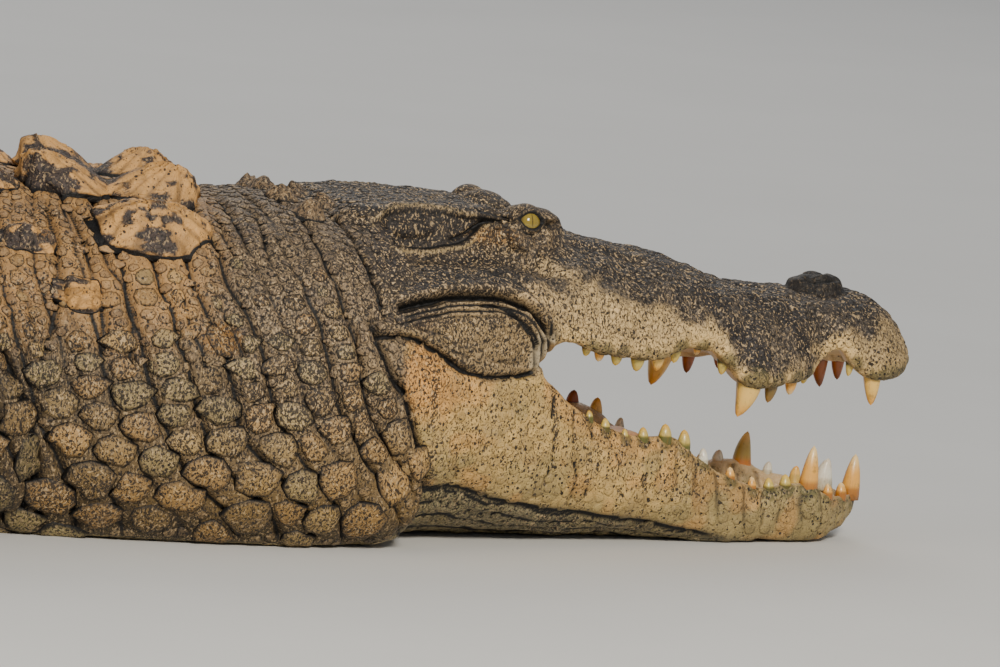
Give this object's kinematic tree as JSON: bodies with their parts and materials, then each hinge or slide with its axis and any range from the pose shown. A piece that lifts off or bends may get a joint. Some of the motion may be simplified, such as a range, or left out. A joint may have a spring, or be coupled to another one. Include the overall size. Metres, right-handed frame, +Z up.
{
  "type": "crocodile",
  "caption": "Life-size still model of a large crocodile lying on its belly, head turned a little to its left and mouth open, with a keeled neck shield and a crested tail.",
  "frame": {"origin": "on the floor under the middle of the trunk, half way between shoulders and hips", "axes": "+X along the straight trunk towards the head, +Y to the animal's left, +Z up"},
  "size_m": [3.9067, 1.3086, 0.3974],
  "materials": {
    "hide": "grey-brown scaly hide, sandy on the raised scutes, finely speckled with black, dry and matt",
    "jaw_hide": "smooth olive-tan hide of the lower jaw with fine black dots, dry",
    "mouth_lining": "pale orange-tan skin of the tongue and palate, slightly damp",
    "tooth": "cream tooth, stained orange-brown towards the tip, satin",
    "eye": "yellow-olive iris with a slit pupil under a wet clear surface",
    "claw": "dark horn, worn paler at the tip"
  },
  "bodies": {
    "root": {"ear_flap_left": "hide", "ear_flap_right": "hide", "eye_left": "eye", "eye_right": "eye", "forearm_left": "hide", "forearm_right": "hide", "forefoot_left": "hide", "forefoot_left_claw_1": "claw", "forefoot_left_claw_2": "claw", "forefoot_left_claw_3": "claw", "forefoot_right": "hide", "forefoot_right_claw_1": "claw", "forefoot_right_claw_2": "claw", "forefoot_right_claw_3": "claw", "head": "hide", "hindfoot_left": "hide", "hindfoot_left_claw_1": "claw", "hindfoot_left_claw_2": "claw", "hindfoot_left_claw_3": "claw", "hindfoot_right": "hide", "hindfoot_right_claw_1": "claw", "hindfoot_right_claw_2": "claw", "hindfoot_right_claw_3": "claw", "lower_jaw": "jaw_hide", "neck": "hide", "shank_left": "hide", "shank_right": "hide", "tail_1": "hide", "tail_2": "hide", "tail_3": "hide", "tail_4": "hide", "tail_5": "hide", "thigh_left": "hide", "thigh_right": "hide", "tongue": "mouth_lining", "trunk_belly": "hide", "trunk_chest": "hide", "trunk_loin": "hide", "upper_arm_left": "hide", "upper_arm_right": "hide"}
  },
  "joints": []
}
